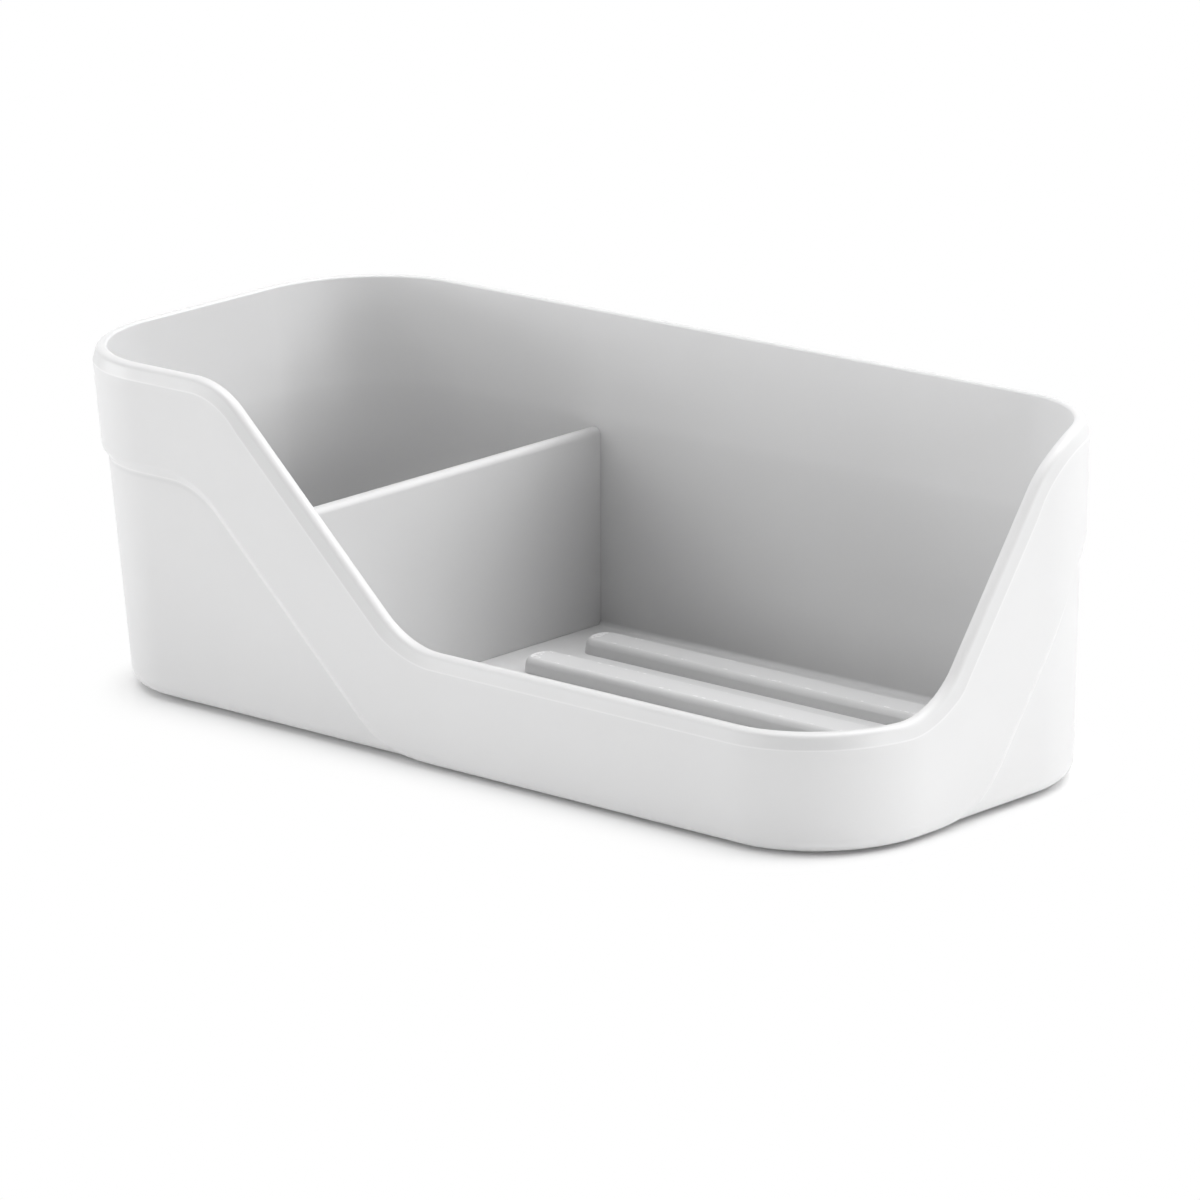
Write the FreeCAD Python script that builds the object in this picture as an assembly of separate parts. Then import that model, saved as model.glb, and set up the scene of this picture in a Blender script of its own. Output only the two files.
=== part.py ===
import FreeCAD, Part
import math
import os

# A sink caddy in millimetres. +X runs along its length towards the low end, +Y to its tall back and
# +Z up from the counter. The origin lies on the counter, under the middle of the outline.

# Outline of the tub, measured round the lip line, which is its largest outline.
caddy_length = 250.0
caddy_width = 105.7
caddy_height = 81.6
corner_radius = 33.1
side_slope = 0.052          # every wall leans out by this much for each millimetre of height

# Walls and rim.
wall = 2.45                 # lower wall
band_step = 1.3             # how far the band round the rim stands proud of the lower wall
lip_height = 3.45           # from the rim down to the lip line
rim_land = 2.5              # flat top of the rim

# Base.
base_lift = 0.8             # the feet hold the tub this far off the counter
base_round = 3.4            # rounding of the outer bottom edge
floor_level = 6.4           # upper face of the floor
floor_thickness = 2.6
floor_round = 1.0           # rounding where the floor meets the walls
skirt_width = 7.0           # ring that is left round the hollow underside

# The rim falls along the front wall to a low front, and rises again along the low end's wall. Each ramp
# starts where it would meet the level rim without a rounding, measured in from the lip line.
low_rim = 28.0
front_ramp_angle = 44.4
front_ramp_start = 61.7     # from the tall end
front_ramp_top_radius = 21.0
front_ramp_foot_radius = 23.3
end_ramp_angle = 55.6
end_ramp_start = 30.5       # from the back
end_ramp_top_radius = 22.5
end_ramp_foot_radius = 20.4

# The lower edge of the band falls along ramps of its own, which run out under the base.
band_height = 25.95         # below the rim, along the tall walls
band_front_start = 51.0     # from the tall end
band_end_start = 16.3       # from the back
band_front_radius = 21.0
band_end_radius = 23.0
step_fall = 2.0             # the step from the band to the lower wall slopes over this height
step_spare = 0.4            # the slope runs on this far into the lower wall

# The divider is a thin wall with tabs that plug into sockets in the floor.
divider_place = -42.2       # x of its middle plane
divider_top = 53.6
divider_top_thickness = 2.65
divider_slope = 0.004       # each face leans by this much for each millimetre of height
divider_round = 0.8
divider_gap = 0.3           # all round the divider
tab_thickness = 2.0
tab_length = 14.0
tab_depth = 4.0
tab_spacing = 44.0          # between the middles of the tabs

# Drain bars on the floor of the wide compartment.
bar_count = 4
bar_pitch = 19.8
bar_width = 8.3             # across the top
bar_height = 3.4
bar_slope = 0.14            # draft of the sides and ends
bar_corner_radius = 3.2
bar_round = 1.2
bar_end_gap = 12.5          # from the divider's foot and from the low end's wall
peg_radius = 2.0
peg_length = 4.0
peg_inset = 30.0            # from the ends of the bar
socket_gap = 0.15
socket_wall = 2.0

# Feet.
foot_radius = 7.0
foot_thickness = 2.0
foot_bevel = 0.4
foot_gap = 0.2
foot_inset_x = 25.0         # from the base's ends
foot_inset_y = 22.0         # from the base's sides
foot_boss_wall = 2.0

# Working sizes.
lip_level = caddy_height - lip_height
band_wall = wall + band_step
buried_fall = step_fall * step_spare / band_step
cavity_inset = band_wall
floor_underside = floor_level - floor_thickness
headroom = 10.0             # the walls are built this much too tall before the rim is cut
reach = caddy_length        # longer than any cut needs to be
bite = 1.0                  # overlap of pieces that are joined into one solid
run_out = 30.0              # the band's edge runs on this far below the counter before it is cut off
touch = 0.01                # points this close together count as one
steepest = 3.0              # an edge that rises more than this for each millimetre along is upright

UP = FreeCAD.Vector(0, 0, 1)


def half_length(inset, level):
    return caddy_length / 2 + side_slope * (level - lip_level) - inset


def half_width(inset, level):
    return caddy_width / 2 + side_slope * (level - lip_level) - inset


def rounded_rectangle(half_x, half_y, radius, level, centre=(0.0, 0.0)):
    """Closed wire of four straight sides and four corner arcs."""
    points = []
    corners = ((1, 1), (-1, 1), (-1, -1), (1, -1))
    for number, (sign_x, sign_y) in enumerate(corners):
        middle_x = centre[0] + sign_x * (half_x - radius)
        middle_y = centre[1] + sign_y * (half_y - radius)
        for step in range(3):
            angle = math.radians(90 * number + 45 * step)
            x = middle_x + radius * math.cos(angle)
            y = middle_y + radius * math.sin(angle)
            points.append(FreeCAD.Vector(x, y, level))
    edges = []
    for number in range(4):
        start, middle, end = points[3 * number:3 * number + 3]
        following = points[(3 * number + 3) % 12]
        edges.append(Part.Arc(start, middle, end).toShape())
        edges.append(Part.LineSegment(end, following).toShape())
    return Part.Wire(edges)


def outline(inset, level):
    """Outline of the tub at a level, set in by inset from its band."""
    radius = corner_radius + side_slope * (level - lip_level) - inset
    return rounded_rectangle(half_length(inset, level), half_width(inset, level), radius, level)


def tapered_block(inset, bottom, top):
    """Solid with the tub's taper between two levels."""
    return Part.makeLoft([outline(inset, bottom), outline(inset, top)], True, True)


def edges_at(shape, level):
    """Edges that lie flat at a level."""
    return [edge for edge in shape.Edges
            if abs(edge.BoundBox.ZMin - level) < 1e-6 and abs(edge.BoundBox.ZMax - level) < 1e-6]


def rounded_block(inset, bottom, top, radius):
    block = tapered_block(inset, bottom, top)
    return block.makeFillet(radius, edges_at(block, bottom))


def cavity(gap):
    """The space inside the tub, made smaller by gap on every side."""
    return rounded_block(cavity_inset + gap, floor_level + gap, caddy_height + headroom, floor_round)


def ramp_line(top_corner, angle, top, low, top_radius, foot_radius):
    """The two arcs of a line that falls from top to low along s, each as three (s, level) points.

    Without the arcs, the straight ramp between them would start at top_corner.
    """
    turn = math.radians(angle)
    low_corner = top_corner + (top - low) / math.tan(turn)
    top_tangent = top_radius * math.tan(turn / 2)
    foot_tangent = foot_radius * math.tan(turn / 2)
    half_sin = math.sin(turn / 2)
    half_cos = math.cos(turn / 2)
    top_arc = (
        (top_corner - top_tangent, top),
        (top_corner - top_tangent + top_radius * half_sin, top - top_radius + top_radius * half_cos),
        (top_corner + top_tangent * math.cos(turn), top - top_tangent * math.sin(turn)),
    )
    foot_arc = (
        (low_corner - foot_tangent * math.cos(turn), low + foot_tangent * math.sin(turn)),
        (low_corner + foot_tangent - foot_radius * half_sin, low + foot_radius - foot_radius * half_cos),
        (low_corner + foot_tangent, low),
    )
    return top_arc, foot_arc


def face_above(line, place):
    """Upright face above a ramp line; place turns (s, level) into a point."""
    top_arc, foot_arc = line
    ceiling = caddy_height + 2 * headroom
    start, finish = (-reach, top_arc[0][1]), (reach, foot_arc[2][1])
    corners = [place(*point) for point in (finish, (reach, ceiling), (-reach, ceiling), start)]
    top_arc = [place(*point) for point in top_arc]
    foot_arc = [place(*point) for point in foot_arc]
    edges = [
        Part.Arc(*top_arc),
        Part.LineSegment(top_arc[2], foot_arc[0]),
        Part.Arc(*foot_arc),
    ]
    around = [foot_arc[2]] + corners + [top_arc[0]]
    edges += [Part.LineSegment(here, there) for here, there in zip(around, around[1:])]
    return Part.Face(Part.Wire([edge.toShape() for edge in edges]))


def above_lines(front_line, end_line):
    """Everything above both a line on the front wall and a line on the low end's wall.

    Along the front wall s is x; along the end's wall s runs towards the front.
    """
    front = face_above(front_line, lambda s, level: FreeCAD.Vector(s, -reach, level))
    end = face_above(end_line, lambda s, level: FreeCAD.Vector(-reach, -s, level))
    front = front.extrude(FreeCAD.Vector(0, 2 * reach, 0))
    end = end.extrude(FreeCAD.Vector(2 * reach, 0, 0))
    return front.common(end)


def above_rim():
    """What is taken off above the rim."""
    front = ramp_line(front_ramp_start - caddy_length / 2, front_ramp_angle, caddy_height, low_rim,
                      front_ramp_top_radius, front_ramp_foot_radius)
    end = ramp_line(end_ramp_start - caddy_width / 2, end_ramp_angle, caddy_height, low_rim,
                    end_ramp_top_radius, end_ramp_foot_radius)
    return above_lines(front, end)


def above_band_edge():
    """Where the band lies: above its lower edge, which runs on below the counter."""
    edge_level = caddy_height - band_height - buried_fall
    front = ramp_line(band_front_start - caddy_length / 2, front_ramp_angle, edge_level, -run_out,
                      band_front_radius, base_round)
    end = ramp_line(band_end_start - caddy_width / 2, end_ramp_angle, edge_level, -run_out,
                    band_end_radius, base_round)
    return above_lines(front, end)


def depth_below_skin(point):
    """How far a point lies inside the tapered outside of the band, measured level."""
    from_end = half_length(0, point.z) - abs(point.x)
    from_side = half_width(0, point.z) - abs(point.y)
    radius = corner_radius + side_slope * (point.z - lip_level)
    if from_end < radius and from_side < radius:
        return radius - math.hypot(radius - from_end, radius - from_side)
    return min(from_end, from_side)


def skin_edges(block, side):
    """Edges along the block's outside that have the solid only above (1) or only below (-1) them."""
    found = []
    for edge in block.Edges:
        box = edge.BoundBox
        middle = edge.valueAt((edge.FirstParameter + edge.LastParameter) / 2)
        runs_along = box.XLength + box.YLength > box.ZLength / steepest
        if not runs_along or abs(depth_below_skin(middle)) > touch:
            continue
        inwards = FreeCAD.Vector(-middle.x, -middle.y, 0).normalize()
        filled = block.isInside(middle + (inwards + UP * side) * bite, touch, False)
        empty = not block.isInside(middle + (inwards - UP * side) * bite, touch, False)
        if filled and empty:
            found.append(edge)
    return found


def rim_band():
    """The thicker wall round the rim, with its bevelled lip and its sloping lower step."""
    band = tapered_block(0, -2 * run_out, caddy_height + headroom).cut(above_rim())
    band = band.makeChamfer(lip_height, band_wall - rim_land, skin_edges(band, -1))
    band = band.common(above_band_edge())
    band = band.makeChamfer(step_fall + buried_fall, band_step + step_spare, skin_edges(band, 1))
    return band.common(rounded_block(0, base_lift, caddy_height + headroom, base_round))


def wedge(half_top, bottom, top):
    """Long wedge along Y about the divider's plane, half_top thick on each side of it at its top."""
    half_bottom = half_top + divider_slope * (top - bottom)
    points = [
        FreeCAD.Vector(divider_place - half_bottom, -reach, bottom),
        FreeCAD.Vector(divider_place + half_bottom, -reach, bottom),
        FreeCAD.Vector(divider_place + half_top, -reach, top),
        FreeCAD.Vector(divider_place - half_top, -reach, top),
    ]
    face = Part.Face(Part.makePolygon(points + points[:1]))
    return face.extrude(FreeCAD.Vector(0, 2 * reach, 0))


def divider_half(level):
    """Half thickness of the divider at a level."""
    return divider_top_thickness / 2 + divider_slope * (divider_top - level)


def tab_places():
    """Middle of each tab of the divider, at the floor."""
    return [FreeCAD.Vector(divider_place, side * tab_spacing / 2, floor_level) for side in (-1, 1)]


def tab_block(place, margin, bottom, top):
    """Upright block about a tab, larger than it by margin on all four sides."""
    thickness = tab_thickness + 2 * margin
    length = tab_length + 2 * margin
    corner = FreeCAD.Vector(place.x - thickness / 2, place.y - length / 2, bottom)
    return Part.makeBox(thickness, length, top - bottom, corner)


def divider():
    body = wedge(divider_half(divider_top), floor_level - bite, divider_top).common(cavity(divider_gap))
    crest = [edge for edge in edges_at(body, divider_top) if edge.BoundBox.YLength > edge.BoundBox.XLength]
    body = body.makeFillet(divider_round, crest)
    for place in tab_places():
        body = body.fuse(tab_block(place, 0, floor_level - tab_depth, floor_level + divider_gap + bite))
    return body.removeSplitter()


def bar_ends():
    """Left and right ends of the drain bars at the floor."""
    left = divider_place + divider_half(floor_level) + bar_end_gap
    right = half_length(cavity_inset, floor_level) - bar_end_gap
    return left, right


def bar_places():
    """y of each bar, from the back to the front."""
    return [bar_pitch * ((bar_count - 1) / 2 - number) for number in range(bar_count)]


def peg_places(y):
    left, right = bar_ends()
    return [FreeCAD.Vector(x, y, floor_level) for x in (left + peg_inset, right - peg_inset)]


def drain_bar(y):
    left, right = bar_ends()
    middle = ((left + right) / 2, y)
    spread = bar_slope * bar_height
    half_x = (right - left) / 2
    half_y = bar_width / 2
    foot = rounded_rectangle(half_x, half_y + spread, bar_corner_radius + spread, floor_level, middle)
    crown = rounded_rectangle(half_x - spread, half_y, bar_corner_radius, floor_level + bar_height, middle)
    bar = Part.makeLoft([foot, crown], True, True)
    bar = bar.makeFillet(bar_round, edges_at(bar, floor_level + bar_height))
    for place in peg_places(y):
        bar = bar.fuse(Part.makeCylinder(peg_radius, peg_length + bite, place - UP * peg_length))
    return bar.removeSplitter()


def foot_places():
    """Middle of each foot on the counter, by name."""
    x = half_length(band_step, base_lift) - foot_inset_x
    y = half_width(band_step, base_lift) - foot_inset_y
    return {
        "foot_front_left": FreeCAD.Vector(-x, -y, 0),
        "foot_front_right": FreeCAD.Vector(x, -y, 0),
        "foot_back_left": FreeCAD.Vector(-x, y, 0),
        "foot_back_right": FreeCAD.Vector(x, y, 0),
    }


def foot(place):
    pad = Part.makeCylinder(foot_radius, foot_thickness, place)
    return pad.makeChamfer(foot_bevel, edges_at(pad, 0.0))


def base_details(tub):
    """Hollows the underside, then adds the bosses for the feet, pegs and tabs and their recesses."""
    tub = tub.cut(tapered_block(band_step + skirt_width, base_lift - bite, floor_underside))
    boss_height = floor_underside - base_lift + bite
    socket_depth = peg_length + socket_gap
    for place in foot_places().values():
        boss_radius = foot_radius + foot_gap + foot_boss_wall
        tub = tub.fuse(Part.makeCylinder(boss_radius, boss_height, place + UP * base_lift))
        tub = tub.cut(Part.makeCylinder(foot_radius + foot_gap, foot_thickness, place))
    for y in bar_places():
        for place in peg_places(y):
            socket_radius = peg_radius + socket_gap
            boss_depth = socket_depth + socket_wall / 2
            boss = Part.makeCylinder(socket_radius + socket_wall, boss_depth - bite, place - UP * boss_depth)
            tub = tub.fuse(boss)
            tub = tub.cut(Part.makeCylinder(socket_radius, socket_depth, place - UP * socket_depth))
    for place in tab_places():
        bottom = floor_level - tab_depth - socket_gap
        boss = tab_block(place, socket_gap + socket_wall, bottom - socket_wall / 2, floor_level - bite)
        tub = tub.fuse(boss).cut(tab_block(place, socket_gap, bottom, floor_level))
    return tub


def caddy_tub():
    lower = rounded_block(band_step, base_lift, caddy_height, base_round)
    lower = lower.cut(above_rim().translated(-UP * lip_height))
    tub = lower.fuse(rim_band()).cut(cavity(0)).removeSplitter()
    return base_details(tub).removeSplitter()


def all_pieces():
    pieces = {"caddy_tub": caddy_tub(), "lift_out_divider": divider()}
    names = ("drain_bar_back", "drain_bar_mid_back", "drain_bar_mid_front", "drain_bar_front")
    for name, y in zip(names, bar_places()):
        pieces[name] = drain_bar(y)
    for name, place in foot_places().items():
        pieces[name] = foot(place)
    return pieces


os.makedirs("parts", exist_ok=True)
for name, shape in all_pieces().items():
    box = shape.BoundBox
    print(name, "valid", shape.isValid(), "solids", len(shape.Solids), "volume", round(shape.Volume, 1),
          "box", [round(v, 2) for v in (box.XMin, box.YMin, box.ZMin, box.XMax, box.YMax, box.ZMax)])
    shape.exportStep("parts/%s.step" % name)
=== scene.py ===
# %% [markdown]
# # A kitchen sink caddy
# The caddy is a light grey moulded tub with a tall back, a rim that falls along two ramps to a low
# front corner, a thin divider that lifts out and drain bars on the floor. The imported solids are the
# frame of this lesson: they fix every place and size, and each step below dresses one of them.
# Everything is in metres, and the sizes are written in millimetres times MM.

# %% Load the frame
import math

import bmesh
import bpy
from mathutils import Matrix, Vector


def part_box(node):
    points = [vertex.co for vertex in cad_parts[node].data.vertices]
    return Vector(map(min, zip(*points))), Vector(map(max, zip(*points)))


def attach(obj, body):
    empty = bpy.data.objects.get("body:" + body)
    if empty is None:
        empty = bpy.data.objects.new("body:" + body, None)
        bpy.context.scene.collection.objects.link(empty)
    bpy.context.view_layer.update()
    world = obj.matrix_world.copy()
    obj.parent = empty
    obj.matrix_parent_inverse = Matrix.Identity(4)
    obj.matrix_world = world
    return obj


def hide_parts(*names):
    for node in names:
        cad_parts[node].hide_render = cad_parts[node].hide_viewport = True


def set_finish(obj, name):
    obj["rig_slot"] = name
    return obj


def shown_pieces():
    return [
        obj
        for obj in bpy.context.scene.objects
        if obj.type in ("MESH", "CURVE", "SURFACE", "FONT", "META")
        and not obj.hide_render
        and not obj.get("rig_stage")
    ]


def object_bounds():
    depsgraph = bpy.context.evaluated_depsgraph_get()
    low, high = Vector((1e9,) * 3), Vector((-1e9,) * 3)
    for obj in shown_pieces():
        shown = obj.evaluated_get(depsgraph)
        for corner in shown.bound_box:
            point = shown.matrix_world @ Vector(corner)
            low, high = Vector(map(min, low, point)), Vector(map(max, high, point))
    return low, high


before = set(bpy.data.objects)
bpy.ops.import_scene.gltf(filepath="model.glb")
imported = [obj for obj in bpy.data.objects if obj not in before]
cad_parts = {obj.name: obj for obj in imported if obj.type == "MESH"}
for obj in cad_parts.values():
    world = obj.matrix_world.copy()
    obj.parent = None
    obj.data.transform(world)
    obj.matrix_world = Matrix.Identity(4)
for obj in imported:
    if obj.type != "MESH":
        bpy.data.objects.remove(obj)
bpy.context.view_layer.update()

MM = 0.001

# %% [markdown]
# ## One way to make every piece
# Each piece of this caddy is a stack of closed rings with the same number of points: rings round the
# tub's wall, round a bar or round a foot. They could be modelled with modifiers or by hand, but a
# stack of rings gives exact sizes and even faces, so one function skins them all. Two large flat
# faces that meet in a narrow rounding shade badly with plain smooth normals, so a weighted normal
# modifier lets the large faces keep their own direction.

# %% A skin over a stack of rings
CREASE = math.radians(25)


def show(name, mesh):
    """Puts a mesh in the scene, smooth but for its sharp edges."""
    mesh.shade_smooth()
    mesh.set_sharp_from_angle(angle=CREASE)
    piece = bpy.data.objects.new(name, mesh)
    bpy.context.scene.collection.objects.link(piece)
    even = piece.modifiers.new("even shading", "WEIGHTED_NORMAL")
    even.keep_sharp = True
    print(name, len(mesh.vertices), "points", len(mesh.polygons), "faces")
    return piece


def skin(name, rings, shells=1, closed_end=True):
    """Mesh over rings of points; the first and last ring of each shell are closed with a face."""
    count = len(rings[0])
    per_shell = len(rings) // shells
    points = [point for ring in rings for point in ring]
    faces = []
    for shell in range(shells):
        first = shell * per_shell
        for level in range(first, first + per_shell - 1):
            for here in range(count):
                there = (here + 1) % count
                below, above = level * count, (level + 1) * count
                faces.append((below + here, below + there, above + there, above + here))
        last = (first + per_shell - 1) * count
        faces.append(tuple(reversed(range(first * count, first * count + count))))
        if closed_end:
            faces.append(tuple(range(last, last + count)))
    mesh = bpy.data.meshes.new(name)
    mesh.from_pydata(points, [], faces)
    return mesh


# %% Helpers for roundings


def arc_steps(count):
    """Sine and cosine of evenly spaced angles from 0 to 90 degrees."""
    angles = [math.pi / 2 * step / count for step in range(count + 1)]
    return [(math.sin(angle), math.cos(angle)) for angle in angles]


def rounded(before, corner, after, radius, steps):
    """Points of the arc that rounds a corner of a line in two dimensions."""
    before, corner, after = Vector(before), Vector(corner), Vector(after)
    back, onward = (before - corner).normalized(), (after - corner).normalized()
    half = back.angle(onward) / 2
    reach = radius / math.tan(half)
    middle = corner + (back + onward).normalized() * (radius / math.sin(half))
    start, end = corner + back * reach - middle, corner + onward * reach - middle
    sweep = start.angle(end)
    points = []
    for step in range(steps + 1):
        share = step / steps
        spread = start * math.sin((1 - share) * sweep) + end * math.sin(share * sweep)
        points.append(tuple(middle + spread / math.sin(sweep)))
    return points


# %% [markdown]
# ## The tub's outline
# Seen from above the tub is a rectangle with wide round corners, and every wall leans out by the same
# slope, as a moulded part needs to leave its mould. So the whole wall can be described by stations
# round a fixed inner rectangle: each station is a point of that rectangle and a direction outwards,
# and a place on the wall is found by going that way. Corners and straight sides then need no
# separate code.

# %% Stations round the tub
tub_low, tub_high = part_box("caddy_tub")
base_level, rim_top = tub_low.z, tub_high.z
corner_radius = 33.1 * MM
side_slope = 0.052
lip_height = 3.45 * MM
lip_level = rim_top - lip_height
side_step = 1.2 * MM
corner_steps = 40
core_x, core_y = -tub_low.x - corner_radius, tub_high.y - corner_radius


def stations():
    """Points of the inner rectangle with their direction outwards, counter-clockwise from the front."""
    corners = [Vector((-core_x, -core_y)), Vector((core_x, -core_y)),
               Vector((core_x, core_y)), Vector((-core_x, core_y))]
    found = []
    for side in range(4):
        start, end = corners[side], corners[(side + 1) % 4]
        heading = math.pi / 2 * (side - 1)
        steps = round((end - start).length / side_step)
        for step in range(steps):
            found.append((start.lerp(end, step / steps), heading))
        for step in range(corner_steps):
            found.append((end, heading + math.pi / 2 * step / corner_steps))
    return [(point, Vector((math.cos(turn), math.sin(turn)))) for point, turn in found]


def spot(station, inset, level):
    """Place on the wall at a level, set in by inset from the band's skin."""
    point, outward = station
    flat = point + outward * (corner_radius + side_slope * (level - lip_level) - inset)
    return flat.x, flat.y, level


around = stations()
print(len(around), "stations")

# %% [markdown]
# ## The falling lines
# The rim runs level round the tall part, then falls along a straight ramp with a round shoulder and a
# round foot. The lower edge of the thicker band under the rim follows it further back and runs out
# under the base. Each line is one formula: flat, arc, straight, arc, flat. The front wall and the low
# end's wall have their own line, and the higher of the two counts.

# %% Rim and band lines
low_rim = 28.0 * MM
band_top = rim_top - 25.95 * MM
band_low = base_level - 2.3 * MM
front_angle, end_angle = math.radians(44.4), math.radians(55.6)
tall_end, back_side = tub_low.x, -tub_high.y
crossing_rounds = 4
slope_step = 0.1 * MM


def falling_line(top_corner, angle, top, low, shoulder, foot):
    """Level of a line along s; without its roundings the ramp would start at top_corner."""
    fall = math.tan(angle)
    low_corner = top_corner + (top - low) / fall
    shoulder_reach, foot_reach = shoulder * math.tan(angle / 2), foot * math.tan(angle / 2)

    def level(s):
        if s <= top_corner - shoulder_reach:
            return top
        if s < top_corner + shoulder_reach * math.cos(angle):
            return top - shoulder + math.sqrt(shoulder ** 2 - (s - top_corner + shoulder_reach) ** 2)
        if s <= low_corner - foot_reach * math.cos(angle):
            return top - (s - top_corner) * fall
        if s < low_corner + foot_reach:
            return low + foot - math.sqrt(foot ** 2 - (s - low_corner - foot_reach) ** 2)
        return low

    return level


front_rim = falling_line(top_corner=tall_end + 61.7 * MM, angle=front_angle, top=rim_top, low=low_rim,
                         shoulder=21.0 * MM, foot=23.3 * MM)
end_rim = falling_line(top_corner=back_side + 30.5 * MM, angle=end_angle, top=rim_top, low=low_rim,
                       shoulder=22.5 * MM, foot=20.4 * MM)
front_edge = falling_line(top_corner=tall_end + 51.0 * MM, angle=front_angle, top=band_top,
                          low=band_low, shoulder=21.0 * MM, foot=39.0 * MM)
end_edge = falling_line(top_corner=back_side + 16.3 * MM, angle=end_angle, top=band_top, low=band_low,
                        shoulder=23.0 * MM, foot=31.0 * MM)

# %% Where a line crosses the wall


def rim_line(x, y):
    return max(front_rim(x), end_rim(-y))


def edge_line(x, y):
    return max(front_edge(x), end_edge(-y))


def line_on_wall(line, station, inset):
    """Level at which a line crosses the wall of a station, at an inset."""
    level = lip_level
    for _ in range(crossing_rounds):
        level = line(*spot(station, inset, level)[:2])
    return level


def stretch(line, station, inset):
    """How much longer a square cut through a sloping line is when it is measured upright."""
    x, y, level = spot(station, inset, line_on_wall(line, station, inset))
    outward = station[1]
    along_x, along_y = -outward.y * slope_step, outward.x * slope_step
    rise = line(x + along_x, y + along_y) - line(x - along_x, y - along_y)
    return math.hypot(1, rise / (2 * slope_step))


print("rim", round(rim_line(0, 0), 4), "at the middle of the length")

# %% [markdown]
# ## The wall's cross-section
# Cut through at any station, the wall shows a rounded bottom edge, the thin lower wall, a sloping step
# out to the band, the bevelled lip, the narrow flat land of the rim, the smooth inside and a small
# rounding at the floor. The whole tub is this cut carried round the stations while the rim and the
# band's edge rise and fall. That gives true edges that catch the light, where a bump map would leave
# the outline straight. Each point also carries a tone of painted light and shade: painted highlights on
# the seams along the lip and the band's edge, the rim's land and inner edge, the base's edge and the
# floor, painted shade on the bevel, in the corner under the band and at the foot of the walls inside,
# and a painted lighter band inside above the band's line.

# %% Sizes of the cut
wall = 2.45 * MM
band_step = 1.3 * MM
step_fall = 2.3 * MM
step_foot_round = 0.25 * MM
step_shoulder_round = 1.6 * MM
rim_land = 2.5 * MM
inner = wall + band_step
bevel = inner - rim_land
base_round = 3.4 * MM
base_steps = 8
floor_level = 6.4 * MM
floor_round = 1.0 * MM
floor_steps = 5
underside = floor_level - 2.6 * MM
skirt = band_step + 7.0 * MM
land_round = 1.8 * MM
inner_edge_round = 0.55 * MM
line_half = 0.28 * MM
ramp_lean = 0.3
sink = 0.10 * MM
sink_half = 2.0 * MM
hair = 0.02 * MM
support = 1.2 * MM
far = 40.0 * MM
print("wall", wall, "thickened by", band_step, "in the band")

# %% The step under the band
lead_in = (6.0, 2.6, 1.0)


def step_curve():
    """The band's sloping step as (height above the edge, inset), upwards."""
    below = [(-line_half * share, band_step) for share in lead_in]
    foot = rounded((-far, band_step), (0, band_step), (step_fall, 0), step_foot_round, steps=3)
    shoulder = rounded((0, band_step), (step_fall, 0), (far, 0), step_shoulder_round, steps=7)
    return below + foot + [(line_half, band_step * (1 - line_half / step_fall))] + shoulder


def between(curve, height):
    """Inset of a curve at a height, straight between its points and constant beyond them."""
    if height <= curve[0][0]:
        return curve[0][1]
    for (low, inset), (high, next_inset) in zip(curve, curve[1:]):
        if height <= high:
            return inset + (next_inset - inset) * (height - low) / (high - low)
    return curve[-1][1]


STEP = step_curve()
print(len(STEP), "points over the step")

# %% Painted light and shade on the wall, above 0 lighter and below 0 darker
# painted highlight along the lip line and the band's lower edge
SEAM = 0.5
# painted shade on the lip's bevel
BEVEL = -0.4
# painted highlight on the rounded bottom edge
BASE_EDGE = 1.5
# painted shade at the foot of the walls inside
WALL_FOOT = -0.8
# painted light on the floor inside
FLOOR = 0.7
# painted highlight along the rim's inner edge
INNER_EDGE = 0.6
# painted highlight on the rim's land
LAND = 0.4
# painted lighter band on the inside above the band's line
INSIDE_BAND = 0.22
# painted shade in the corner under the band's step
CORNER_SHADE = -0.45
SHADE_POINT = 1
SEAM_SHARES = (0.8, 1.0, 1.0, 0.8)
STEP_HIGHLIGHTS = {len(lead_in) + number: SEAM * share for number, share in enumerate(SEAM_SHARES)}
print("tones on the step", STEP_HIGHLIGHTS)

# %% Outside of the wall


def outer_cut(edge, lean, lip, rim_lean):
    """(inset, level, tone) points of the outside, from the base up to just above the lip line."""
    def out(level):
        return between(STEP, (level - edge) / lean)

    cut = []
    # painted highlight on the base's rounding, strongest at the bottom
    for sine, cosine in arc_steps(base_steps):
        level = base_level + base_round * (1 - cosine)
        cut.append((out(level) + base_round * (1 - sine), level, BASE_EDGE * (1 - sine)))
    top = base_level + base_round
    # painted highlight along the band's lower edge
    for number, (height, inset) in enumerate(STEP):
        wanted, lowest = edge + height * lean, top + hair * (number + 1)
        tone = STEP_HIGHLIGHTS.get(number, 0.0)
        # painted shade under the step on the level parts, none on the ramps
        if number == SHADE_POINT:
            tone = CORNER_SHADE * max(0.0, 1 - (lean - 1) / ramp_lean)
        level = max(wanted, lowest)
        cut.append((out(level), level, tone if wanted > lowest else 0.0))
    # painted highlight along the lip line, painted shade on the bevel above it
    for share, tone in ((-1, 0.0), (0, SEAM), (1, BEVEL)):
        inset = bevel * max(0, share) * line_half / lip_height
        cut.append((inset, lip + share * line_half * rim_lean, tone))
    return cut


# %% Rim
half_fall = (rim_top - low_rim) / 2


def land_highlight(station, lean):
    """The land gets a painted highlight round the tall part and down the end ramp, but not on the front
    ramp.
    """
    tall = min(1.0, (line_on_wall(rim_line, station, 0) - low_rim) / half_fall)
    front_ramp = max(0.0, -station[1].y) * min(1.0, (lean - 1) / ramp_lean)
    return LAND * tall * (1 - front_ramp)


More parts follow.
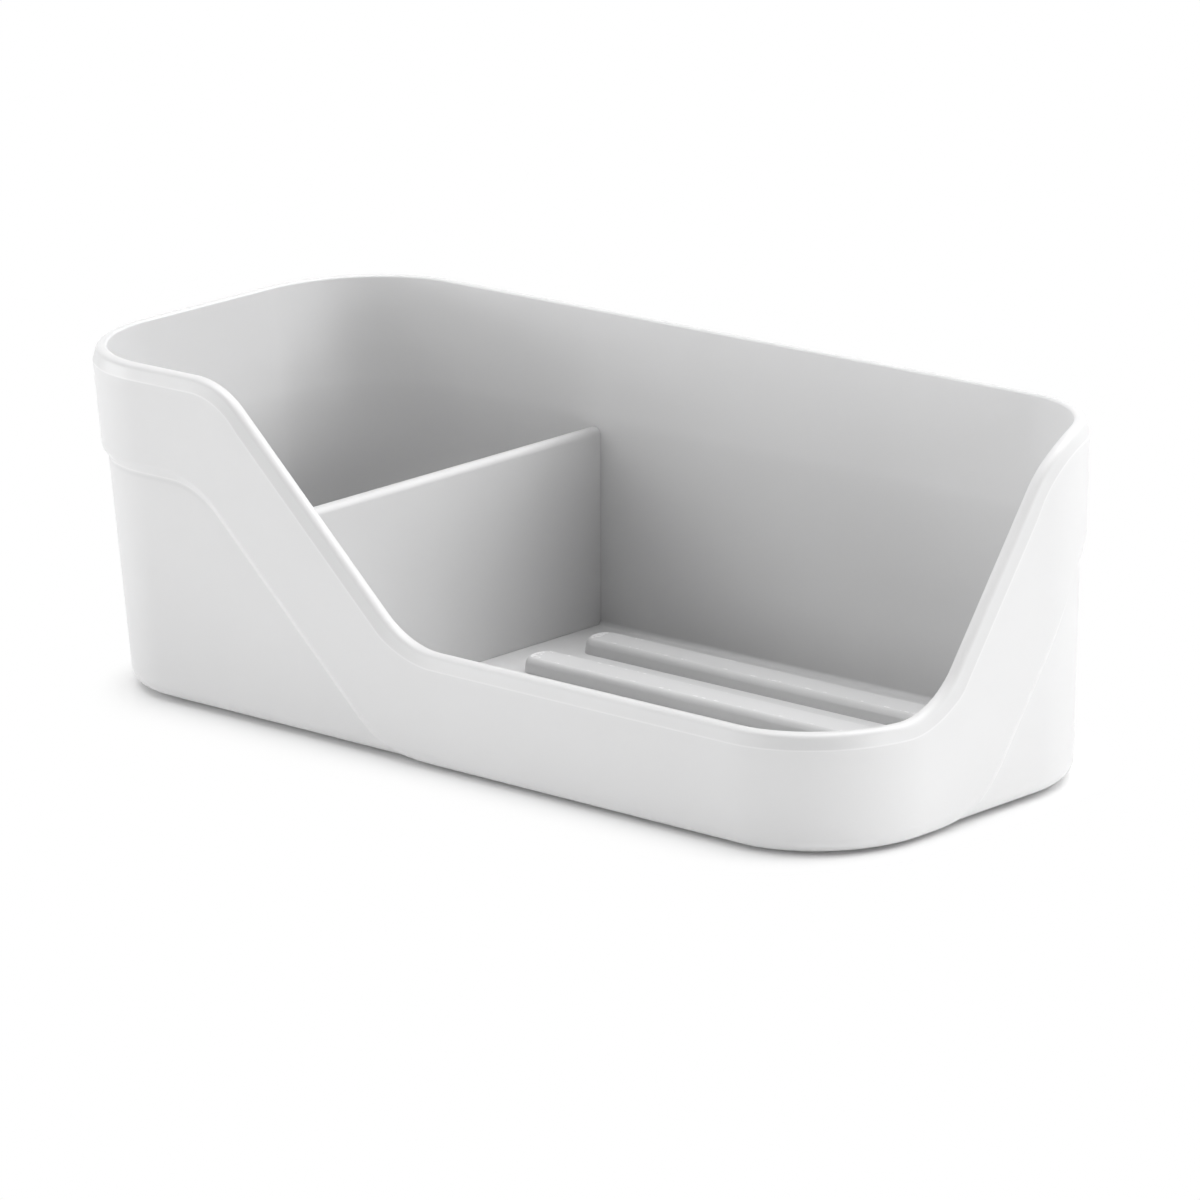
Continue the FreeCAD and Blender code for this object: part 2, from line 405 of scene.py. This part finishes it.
def rim_cut(station, lean):
    """(inset, level, tone) points over the lip and the land; lean stretches them on a ramp."""
    low = (0.0, -lip_height)
    outer_edge, inner_edge = (bevel, 0.0), (inner - sink, 0.0)
    cut = rounded(low, outer_edge, inner_edge, land_round, steps=6)
    cut += rounded(outer_edge, inner_edge, (inner - sink, -far), inner_edge_round, steps=5)
    land = land_highlight(station, lean)
    # painted shade on the bevel, painted highlights on the land and the inner edge
    first, last = [BEVEL, BEVEL, BEVEL / 2, land / 2], [INNER_EDGE, INNER_EDGE, INSIDE_BAND]
    tones = first + [land] * (len(cut) - len(first) - len(last)) + last
    return [(inset, line_on_wall(rim_line, station, inset) + height * lean, tone)
            for (inset, height), tone in zip(cut, tones)]


# %% Inside of the wall
band_shares = (1, 0.5, 0, -0.5, -1)


def inner_cut(edge):
    """(inset, level, tone) points down the inside to the floor."""
    lowest = floor_level + floor_round + hair
    cut = []
    # painted light on the inside above the band's line, fading out below it
    for number, share in enumerate(band_shares):
        level = max(edge + sink_half * share, lowest + hair * (len(band_shares) - number))
        upper = 0.5 + 0.5 * math.sin(math.pi / 2 * share)
        cut.append((inner - sink * upper, level, INSIDE_BAND * upper))
    # painted shade at the wall's foot turning into painted light on the floor
    for sine, cosine in reversed(arc_steps(floor_steps)):
        tone = WALL_FOOT * sine + FLOOR * (1 - sine)
        cut.append((inner + floor_round * (1 - sine), floor_level + floor_round * (1 - cosine), tone))
    cut.append((inner + floor_round + support, floor_level, FLOOR))
    return cut


# %% The cuts at all stations


def wall_cut(station):
    """(place, tone) points of the whole cut, from under the floor over the rim to the floor."""
    edge = line_on_wall(edge_line, station, band_step)
    lean = stretch(rim_line, station, 0)
    lip = line_on_wall(rim_line, station, 0) - lip_height * lean
    cut = [(skirt + support, underside, 0.0), (skirt, underside, 0.0), (skirt, base_level, 0.0)]
    cut += outer_cut(edge, stretch(edge_line, station, band_step), lip, lean)
    cut += rim_cut(station, lean)
    cut += inner_cut(edge)
    return [(spot(station, inset, level), tone) for inset, level, tone in cut]


cuts = [wall_cut(station) for station in around]
print(len(cuts[0]), "points in each cut")

# %% [markdown]
# ## The tub
# The tub is one moulding, so it is one mesh: the cuts are joined round all stations. Only its floor is
# more than a flat face, because the divider's tabs plug into two slots in it, which show when the
# divider is lifted. A boolean cut would do it too, but it may leave long thin faces round the slots, so
# the slots are drawn first and the floor is filled in between them and the wall.

# %% The slotted floor
panel_low, panel_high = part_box("lift_out_divider")
panel_place = (panel_low.x + panel_high.x) / 2
tab_half_x = 1.0 * MM
tab_half_y = 7.0 * MM
tab_places = (-22.0 * MM, 22.0 * MM)
socket_gap = 0.15 * MM
socket_floor = panel_low.z - socket_gap


def four_corners(place, half_x, half_y, level):
    """Ring of a block about a place, counter-clockwise."""
    x, y = place
    return [(x - half_x, y - half_y, level), (x + half_x, y - half_y, level),
            (x + half_x, y + half_y, level), (x - half_x, y + half_y, level)]


def slotted_floor(mesh, count):
    """Fills the last ring of a mesh with a floor that has an open slot for each tab."""
    shape = bmesh.new()
    shape.from_mesh(mesh)
    shape.verts.ensure_lookup_table()
    ring = shape.verts[-count:]
    edges = [shape.edges.get((here, there)) for here, there in zip(ring, ring[1:] + ring[:1])]
    half_x, half_y = tab_half_x + socket_gap, tab_half_y + socket_gap
    for y in tab_places:
        loops = []
        for level in (floor_level, socket_floor):
            corners = four_corners((panel_place, y), half_x, half_y, level)
            loops.append([shape.verts.new(corner) for corner in corners])
        mouth, bottom = loops
        for number in range(4):
            there = (number + 1) % 4
            edges.append(shape.edges.new((mouth[number], mouth[there])))
            shape.faces.new((mouth[number], bottom[number], bottom[there], mouth[there]))
        shape.faces.new(bottom)
    bmesh.ops.triangle_fill(shape, use_beauty=True, edges=edges)
    bmesh.ops.recalc_face_normals(shape, faces=shape.faces)
    shape.to_mesh(mesh)
    shape.free()
    return mesh


# %% Tub


def tint(mesh, tones):
    """Gives the mesh's first points their tones of painted light and shade and the rest the tone of the
    last of them.
    """
    tone = mesh.attributes.new("edge_tone", "FLOAT", "POINT")
    tone.data.foreach_set("value", tones + tones[-1:] * (len(mesh.vertices) - len(tones)))
    return mesh


tub_rings = list(zip(*cuts))
tub_places = [[place for place, tone in ring] for ring in tub_rings]
tub_tones = [tone for ring in tub_rings for place, tone in ring]
tub_mesh = slotted_floor(skin("tub_shell", tub_places, closed_end=False), len(around))
tub = show("tub_shell", tint(tub_mesh, tub_tones))
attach(tub, "tub")
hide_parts("caddy_tub")
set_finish(tub, "tub_plastic")

# %% [markdown]
# ## The divider
# The divider is a thin wall: its faces lean in by a hair, its top edge is softer in front than behind,
# and its ends follow the leaning walls with a hair of clearance. Two tabs below it plug into the
# floor. A box with bevels would not lean with the walls, so it is a stack of four-cornered rings.

# %% Divider and its tabs
panel_top = panel_high.z
panel_slope = 0.004
panel_half_foot = (panel_high.x - panel_low.x) / 2
panel_round = 1.6 * MM
crest_steps = 8
panel_back_round = 0.3 * MM
panel_gap = 0.06 * MM
panel_foot = floor_level + panel_gap
tab_bevel = 0.4 * MM


def panel_half(level):
    return panel_half_foot - panel_slope * (level - panel_foot)


def tight_round(radius, drop):
    """Inset of a small rounding at a drop below the top."""
    sine = max(0.0, 1 - drop / radius)
    return radius * (1 - math.sqrt(1 - sine ** 2))


def wall_half(level):
    """Half the inside width at a level, less the divider's clearance."""
    return tub_high.y + side_slope * (level - lip_level) - inner - panel_gap


def panel_ring(level, front=0.0, back=0.0, shorter=0.0):
    middle = (panel_place + (back - front) / 2, 0.0)
    half_x = panel_half(level) - (front + back) / 2
    return four_corners(middle, half_x, wall_half(level) - shorter, level)


def divider_rings():
    """From the foot, whose corners clear the rounding at the floor, up to the rounded crest."""
    rings = [panel_ring(panel_foot, shorter=floor_round), panel_ring(panel_foot + floor_round)]
    for sine, cosine in arc_steps(crest_steps):
        drop = panel_round * (1 - sine)
        front = panel_round * (1 - cosine)
        rings.append(panel_ring(panel_top - drop, front, tight_round(panel_back_round, drop)))
    return rings


def tab_rings(y):
    tip = panel_low.z
    rings = []
    for level, inset in ((tip, tab_bevel), (tip + tab_bevel, 0.0), (panel_foot + hair, 0.0)):
        rings.append(four_corners((panel_place, y), tab_half_x - inset, tab_half_y - inset, level))
    return rings


panel = show("divider_panel", skin("divider_panel", divider_rings()))
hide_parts("lift_out_divider")
both_tabs = [ring for y in tab_places for ring in tab_rings(y)]
tabs = show("divider_tabs", skin("divider_tabs", both_tabs, len(tab_places)))
for piece in (panel, tabs):
    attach(piece, "divider")
    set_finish(piece, "divider_plastic")

# %% [markdown]
# ## Drain bars
# Four flat bars keep a wet sponge off the floor. Each has drafted sides, round corners in plan and a
# top edge that is softer at the front than at the back. The rings are rounded rectangles whose front
# and back sides move in by their own amount, which a plain bevel could not do. The sides carry painted
# shade, and the top edge painted glints, most of all at the end by the divider.

# %% Shape of a bar
bar_nodes = ("drain_bar_back", "drain_bar_mid_back", "drain_bar_mid_front", "drain_bar_front")
bar_slope = 0.14
bar_corner = 3.7 * MM
bar_top_round = 1.5 * MM
bar_tight_round = 0.45 * MM
bar_round_steps = 7
bar_corner_steps = 12
glint_width = 1.0 * MM
glint_reach = 4.0 * MM


def bar_ring(low, high, sides, front, back, level):
    """Rounded rectangle set in by sides at its ends, and by front and back at its long sides."""
    radius = bar_corner - min(sides, (front + back) / 2)
    left, right = low.x + sides + radius, high.x - sides - radius
    near, away = low.y + front + radius, high.y - back - radius
    ring = []
    for turn, (x, y) in enumerate(((left, near), (right, near), (right, away), (left, away))):
        for step in range(bar_corner_steps + 1):
            angle = math.pi + math.pi / 2 * (turn + step / bar_corner_steps)
            ring.append((x + radius * math.cos(angle), y + radius * math.sin(angle), level))
    return ring


def bar_rings(node):
    """Rings up the drafted side to a soft front edge and tight other edges, and one on the top."""
    low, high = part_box(node)
    rings = [bar_ring(low, high, 0, 0, 0, floor_level)]
    for sine, cosine in arc_steps(bar_round_steps):
        drop = bar_top_round * (1 - sine)
        draft = bar_slope * (high.z - drop - floor_level)
        front = draft + bar_top_round * (1 - cosine)
        back = draft + tight_round(bar_tight_round, drop)
        rings.append(bar_ring(low, high, back, front, back, high.z - drop))
    top_insets = (back + glint_reach, front + glint_width, back + glint_width)
    rings.append(bar_ring(low, high, *top_insets, high.z))
    return rings


# %% Painted shade and glints of a bar
# painted shade on the bars' sides, rising fast over the top rounding
SHADED_SIDE = -1.9
SHADE_RISE = 1.5
# painted glints along the bars' front top edge
FRONT_GLINT = 0.33


def edge_glint(ring, point):
    """How strong the painted glint on the top edge is here: most round the end by the divider, some
    along the front.
    """
    start, near = min(x for x, y, z in ring), min(y for x, y, z in ring)
    at_end = max(0.0, 1 - (point[0] - start) / glint_reach)
    in_front = max(0.0, 1 - (point[1] - near) / glint_width)
    return max(at_end, FRONT_GLINT * in_front)


def bar_tones(rings):
    """Painted shade on the sides, painted glints along the top edge and none on the top."""
    count = len(rings[0])
    tones = [SHADED_SIDE] * count
    for sine, cosine in arc_steps(bar_round_steps):
        tones += [SHADED_SIDE * min(1.0, SHADE_RISE * cosine)] * count
    edge, top = rings[-2:]
    tones[-count:] = [edge_glint(edge, point) for point in edge]
    return tones + [0.0] * count


# %% Bars
for node in bar_nodes:
    name = node.replace("drain_", "")
    rings = bar_rings(node)
    bar = show(name, tint(skin(name, rings), bar_tones(rings)))
    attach(bar, "tub")
    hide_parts(node)
    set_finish(bar, "bar_plastic")

# %% [markdown]
# ## Feet and the bosses under the floor
# Under the hollow base sit four soft pads in round bosses. Shorter bosses take the pegs of the bars,
# and two oblong ones the tabs of the divider. The round ones are turned shapes, so a list of radii and
# levels is enough: each pad gets a bevelled edge and grooves that grip a wet worktop.

# %% Turned pieces
turn_steps = 48


def turned(centre, profile):
    """Rings round an upright axis through centre, one for each (radius, level) of the profile."""
    angles = [2 * math.pi * step / turn_steps for step in range(turn_steps)]
    turns = [(math.cos(angle), math.sin(angle)) for angle in angles]
    return [[(centre.x + radius * x, centre.y + radius * y, level) for x, y in turns]
            for radius, level in profile]


def under_floor(name, rings, shells):
    """A set of bosses that belongs to the tub."""
    piece = show(name, skin(name, rings, shells))
    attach(piece, "tub")
    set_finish(piece, "tub_plastic")


# %% Feet and their bosses
foot_nodes = [name for name in sorted(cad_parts) if name.startswith("foot_")]
pad_bevel = 0.4 * MM
groove_depth = 0.5 * MM
groove_half = 0.4 * MM
groove_shares = (0.3, 0.6)
boss_gap = 0.2 * MM
boss_wall = 2.0 * MM


def pad_profile(radius, top):
    """From the middle of the grooved sole out to the bevelled edge and up to the top."""
    profile = []
    for middle in (share * radius for share in groove_shares):
        profile += [(middle - groove_half, 0), (middle - groove_half / 2, groove_depth),
                    (middle + groove_half / 2, groove_depth), (middle + groove_half, 0)]
    return profile + [(radius - pad_bevel, 0), (radius, pad_bevel), (radius, top)]


boss_rings = []
for node in foot_nodes:
    low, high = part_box(node)
    centre, radius = (low + high) / 2, (high.x - low.x) / 2
    name = node.replace("foot", "pad")
    pad = show(name, skin(name, turned(centre, pad_profile(radius, high.z))))
    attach(pad, "tub")
    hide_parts(node)
    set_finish(pad, "foot_rubber")
    hole, outside = radius + boss_gap, radius + boss_gap + boss_wall
    boss_rings += turned(centre, [(hole, high.z), (hole, base_level), (outside, base_level),
                                  (outside, underside + hair)])
under_floor("foot_bosses", boss_rings, len(foot_nodes))

# %% Bosses for pegs and tabs
peg_inset = 30.0 * MM
peg_boss_radius = 4.15 * MM
socket_wall = 2.0 * MM
boss_low = socket_floor - socket_wall / 2
boss_bevel = 0.3 * MM
boss_levels = ((boss_low, boss_bevel), (boss_low + boss_bevel, 0.0), (underside + hair, 0.0))

peg_rings = []
for node in bar_nodes:
    low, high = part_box(node)
    for x in (low.x + peg_inset, high.x - peg_inset):
        centre = Vector((x, (low.y + high.y) / 2, 0))
        peg_rings += turned(centre, [(peg_boss_radius - inset, level) for level, inset in boss_levels])
under_floor("peg_bosses", peg_rings, 2 * len(bar_nodes))

tab_boss_rings = []
for y in tab_places:
    grown = socket_gap + socket_wall
    for level, inset in boss_levels:
        half_x, half_y = tab_half_x + grown - inset, tab_half_y + grown - inset
        tab_boss_rings.append(four_corners((panel_place, y), half_x, half_y, level))
under_floor("tab_bosses", tab_boss_rings, len(tab_places))

# %% [markdown]
# ## Writing finishes as sums
# A finish is a small network of nodes. Written node by node it is hard to read, so a thin wrapper
# lets numbers that change over a surface be added and multiplied like any others, and one method
# makes every other node.

# %% Numbers that change over a surface


class Amount:
    """A number that changes over a surface; maths on it adds Math nodes."""

    def __init__(self, finish, socket):
        self.finish, self.socket = finish, socket

    def maths(self, operation, *terms):
        return self.finish.node("Math", {"operation": operation}, *terms)

    def __add__(self, other):
        return self.maths("ADD", self, other)

    def __sub__(self, other):
        return self.maths("SUBTRACT", self, other)

    def __rsub__(self, other):
        return self.maths("SUBTRACT", other, self)

    def __mul__(self, other):
        return self.maths("MULTIPLY", self, other)

    __radd__ = __add__
    __rmul__ = __mul__


# %% Networks of nodes
COOL_CAST = 1.004


class Finish:
    """A network of shading nodes; node() makes any node and returns one of its outputs."""

    def __init__(self, owner):
        owner.use_nodes = True
        self.owner, self.tree = owner, owner.node_tree

    def node(self, kind, settings=None, *terms, output=0, **sockets):
        """Settings are set first, then sockets by place or by name."""
        made = self.tree.nodes.new("ShaderNode" + kind)
        for key, value in (settings or {}).items():
            setattr(made, key, value)
        for number, value in enumerate(terms):
            self.put(made.inputs[number], value)
        for key, value in sockets.items():
            self.put(made.inputs[key.replace("_", " ")], value)
        return Amount(self, made.outputs[output])

    def put(self, socket, value):
        if isinstance(value, Amount):
            self.tree.links.new(value.socket, socket)
        else:
            socket.default_value = value

    def shade(self, **sockets):
        """Sets sockets of the material's Principled shader."""
        for key, value in sockets.items():
            self.put(self.tree.nodes["Principled BSDF"].inputs[key.replace("_", " ")], value)
        return self.owner

    def grey(self, tint):
        """Colour of a grey with a trace of blue."""
        return self.node("CombineColor", {}, tint, tint, tint * COOL_CAST)


# %% [markdown]
# ## The plastics and the rubber
# The tub is satin polypropylene: an even light grey with the faintest clouding from the way the melt
# flowed, a very fine grain from the spark-worn mould and a roughness that drifts a little. The bars
# are smoother. Noise of three sizes gives these, because an even noise has no seams and no direction.
# The tone that a mesh carries is painted light and shade, which makes the plastic lighter or darker, and
# on the bars painted light breaks up into specks of painted glint.

# %% Plastics
clouds_per_metre, clouding = 28.0, 0.03
drifts_per_metre, drifting = 90.0, 0.12
pits_per_metre, pit_depth = 2600.0, 0.05 * MM
specks_per_metre, speck_gain, speck_growth = 450.0, 1.7, 0.25
speck_fade = (0.05, 0.25)
speck_edge = (0.62, 0.66)
# how much painted light lightens and painted shade darkens the grey
light_gain, shade_depth = 0.13, 0.11


def noise(finish, place, per_metre, detail, roughness):
    return finish.node("TexNoise", {}, Vector=place, Scale=per_metre, Detail=detail, Roughness=roughness)


def glint_specks(finish, place, painted_light):
    """Breaks painted light up into specks of painted glint, which are more where it is strong."""
    spots = noise(finish, place, specks_per_metre, detail=3.0, roughness=0.75)
    shown = finish.node("MapRange", {}, painted_light, *speck_fade)
    return finish.node("MapRange", {}, painted_light * speck_growth + spots, *speck_edge) * shown * speck_gain


def plastic(name, grey, roughness, grain, glinting=False):
    """Clouded plastic with fine pits, with painted light and shade where the mesh carries a tone."""
    finish = Finish(bpy.data.materials.new(name))
    place = finish.node("TexCoord", output="Object")
    cloud = noise(finish, place, clouds_per_metre, detail=3.0, roughness=0.55)
    drift = noise(finish, place, drifts_per_metre, detail=4.0, roughness=0.6)
    pits = noise(finish, place, pits_per_metre, detail=2.0, roughness=0.5)
    bump = finish.node("Bump", {}, Strength=grain, Distance=pit_depth, Height=pits)
    # the mesh's tone is painted light above 0 and painted shade below 0
    tone = finish.node("Attribute", {"attribute_name": "edge_tone"}, output="Fac")
    painted_light = finish.node("Math", {"operation": "MAXIMUM"}, tone, 0.0)
    painted_shade = finish.node("Math", {"operation": "MINIMUM"}, tone, 0.0)
    # on the bars painted light turns into specks of painted glint
    if glinting:
        painted_light = glint_specks(finish, place, painted_light)
    tint = grey + (cloud - 0.5) * clouding + painted_light * light_gain + painted_shade * shade_depth
    rough = roughness + (drift - 0.5) * drifting
    return finish.shade(Base_Color=finish.grey(tint), Normal=bump, Roughness=rough)


# %% Rubber
grains_per_metre, grain_height = 1500.0, 0.1 * MM


def rubber(name, grey):
    """Matt rubber with a coarser grain."""
    finish = Finish(bpy.data.materials.new(name))
    place = finish.node("TexCoord", output="Object")
    grain = noise(finish, place, grains_per_metre, detail=3.0, roughness=0.5)
    bump = finish.node("Bump", {}, Strength=0.25, Distance=grain_height, Height=grain)
    return finish.shade(Base_Color=finish.grey(grey + (grain - 0.5) * 0.06), Normal=bump,
                        Roughness=0.8 + (grain - 0.5) * 0.1)


# %% Finishes of all pieces
finishes = {
    "tub_plastic": plastic("satin grey plastic", grey=0.66, roughness=0.42, grain=0.12),
    # the divider's grey is darker than the tub's: painted shade on the divider
    "divider_plastic": plastic("satin divider plastic", grey=0.61, roughness=0.42, grain=0.12),
    # the bars' grey is paler than the tub's: painted light on the bars
    "bar_plastic": plastic("smooth bar plastic", grey=0.79, roughness=0.35, grain=0.10, glinting=True),
    "foot_rubber": rubber("grey foot rubber", grey=0.45),
}
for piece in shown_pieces():
    piece.data.materials.clear()
    piece.data.materials.append(finishes[piece["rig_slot"]])
print("finishes", sorted(finishes))

# %% [markdown]
# ## Stage and light
# The caddy stands on a white sweep in a bright, soft studio. Near the caddy the floor is a plain white
# surface that takes its contact shadow; further out it turns into an even white, which only the camera
# and reflections see, so it throws no extra light on the caddy.

# %% Floor
shadow_start = -7.0 * MM
shadow_end = 15.0 * MM
end_shadow = 4.0 * MM
floor_half = 6.0


def white_seen(finish, surface, share):
    """Surface that turns white, by share, to the camera and in reflections."""
    kinds = ("Is Camera Ray", "Is Glossy Ray", "Is Transmission Ray")
    seen = [finish.node("LightPath", output=kind) for kind in kinds]
    white = finish.node("Emission", {}, Color=(1, 1, 1, 1), Strength=1.0)
    return finish.node("MixShader", {}, (seen[0] + seen[1] + seen[2]) * share, surface, white)


def floor_shadow(finish):
    """1 under the caddy's edge, falling to 0 a short way out and sooner past its two ends."""
    place = finish.node("TexCoord", output="Object")
    folded = finish.node("VectorMath", {"operation": "ABSOLUTE"}, place)
    beyond = finish.node("VectorMath", {"operation": "SUBTRACT"}, folded, (core_x, core_y, 0))
    beyond = finish.node("VectorMath", {"operation": "MAXIMUM"}, beyond, (0, 0, 0))
    away = finish.node("VectorMath", {"operation": "LENGTH"}, beyond, output="Value")
    along = finish.node("SeparateXYZ", {}, folded, output="X")
    reach = finish.node("MapRange", {}, along, core_x, core_x + corner_radius, shadow_end, end_shadow)
    near, out = corner_radius + shadow_start, corner_radius + reach
    return finish.node("MapRange", {}, away, near, out, 1.0, 0.0)


def white_sweep():
    """White that keeps its real light where the caddy's shadow falls."""
    finish = Finish(bpy.data.materials.new("white sweep"))
    finish.shade(Base_Color=(0.95, 0.95, 0.95, 1), Roughness=0.35)
    dark = floor_shadow(finish)
    surface = Amount(finish, finish.tree.nodes["Principled BSDF"].outputs[0])
    seen = white_seen(finish, surface, 1 - dark * dark * dark)
    finish.put(finish.tree.nodes["Material Output"].inputs["Surface"], seen)
    return finish.owner


floor_mesh = bpy.data.meshes.new("floor")
floor_mesh.from_pydata(four_corners((0, 0), floor_half, floor_half, 0), [], [(0, 1, 2, 3)])
floor_mesh.materials.append(white_sweep())
floor = bpy.data.objects.new("floor", floor_mesh)
bpy.context.scene.collection.objects.link(floor)
floor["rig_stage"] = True
print("floor shadow fades out", shadow_end, "from the caddy")

# %% Lamps
view_azimuth = math.radians(45.07)
lamp_target = Vector((0, 0, 40.0 * MM))
lamp_distance = 1.5


def direction(azimuth, elevation):
    """Unit vector from the caddy towards an azimuth, counted from the front, and an elevation."""
    flat = math.cos(elevation)
    return Vector((math.sin(azimuth) * flat, -math.cos(azimuth) * flat, math.sin(elevation)))


def softbox(name, turn, height, width, tall, power):
    """Lamp aimed at the caddy; turn is counted from the camera's side, height above the floor."""
    toward = direction(view_azimuth + math.radians(turn), math.radians(height))
    lamp = bpy.data.lights.new(name, "AREA")
    lamp.shape = "RECTANGLE"
    lamp.size, lamp.size_y, lamp.energy = width, tall, power
    box = bpy.data.objects.new(name, lamp)
    box.location = lamp_target + toward * lamp_distance
    box.rotation_euler = toward.to_track_quat("Z", "Y").to_euler()
    bpy.context.scene.collection.objects.link(box)


softbox("top box", turn=0, height=90, width=1.2, tall=1.2, power=9.1)
softbox("high back box", turn=120, height=64, width=0.9, tall=0.9, power=10.8)
softbox("high left box", turn=240, height=64, width=0.9, tall=0.9, power=2.9)
softbox("right box", turn=90, height=38, width=0.9, tall=0.9, power=9.5)
softbox("low right box", turn=45, height=8, width=0.9, tall=0.46, power=9.0)
softbox("left box", turn=270, height=25, width=0.9, tall=0.7, power=3.6)
softbox("low front left box", turn=300, height=12, width=0.9, tall=0.5, power=4.5)
softbox("low left box", turn=255, height=5, width=0.9, tall=0.32, power=6.5)
print("lamps", [lamp.name for lamp in bpy.data.lights])

# %% Surroundings


def studio(strength):
    """White surroundings that light the caddy with a strength of their own."""
    world = bpy.data.worlds.new("studio")
    finish = Finish(world)
    around_light = finish.tree.nodes["Background"]
    around_light.inputs["Color"].default_value = (1, 1, 1, 1)
    around_light.inputs["Strength"].default_value = strength
    seen = white_seen(finish, Amount(finish, around_light.outputs[0]), 1.0)
    finish.put(finish.tree.nodes["World Output"].inputs["Surface"], seen)
    bpy.context.scene.world = world


studio(strength=0.02)
bpy.context.scene.view_settings.view_transform = "Standard"

# %% [markdown]
# ## Camera
# The picture is taken from above the low front corner. A short lens close by would make that corner
# swell, so a long lens looks on from far away, and the camera leans over by a small angle.

# %% Camera
view_elevation = math.radians(15.643)
view_roll = math.radians(-2.203)
view_distance = 1747.64 * MM
view_target = Vector((0.732, 3.999, 28.695)) * MM
back = direction(view_azimuth, view_elevation)
level_right = Vector((math.cos(view_azimuth), math.sin(view_azimuth), 0))
upright = back.cross(level_right)
right = level_right * math.cos(view_roll) + upright * math.sin(view_roll)
up = upright * math.cos(view_roll) - level_right * math.sin(view_roll)
camera = bpy.data.objects.new("camera", bpy.data.cameras.new("camera"))
camera.data.sensor_width = 36.0
camera.data.lens = 230.53
camera.data.clip_start = 0.05
camera.location = view_target + back * view_distance
camera.rotation_euler = Matrix((right, up, back)).transposed().to_euler()
bpy.context.scene.collection.objects.link(camera)
bpy.context.scene.camera = camera
print("camera at", [round(part, 3) for part in camera.location])

# %% Sizes
low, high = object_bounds()
print("visual size", [round(side, 4) for side in high - low])
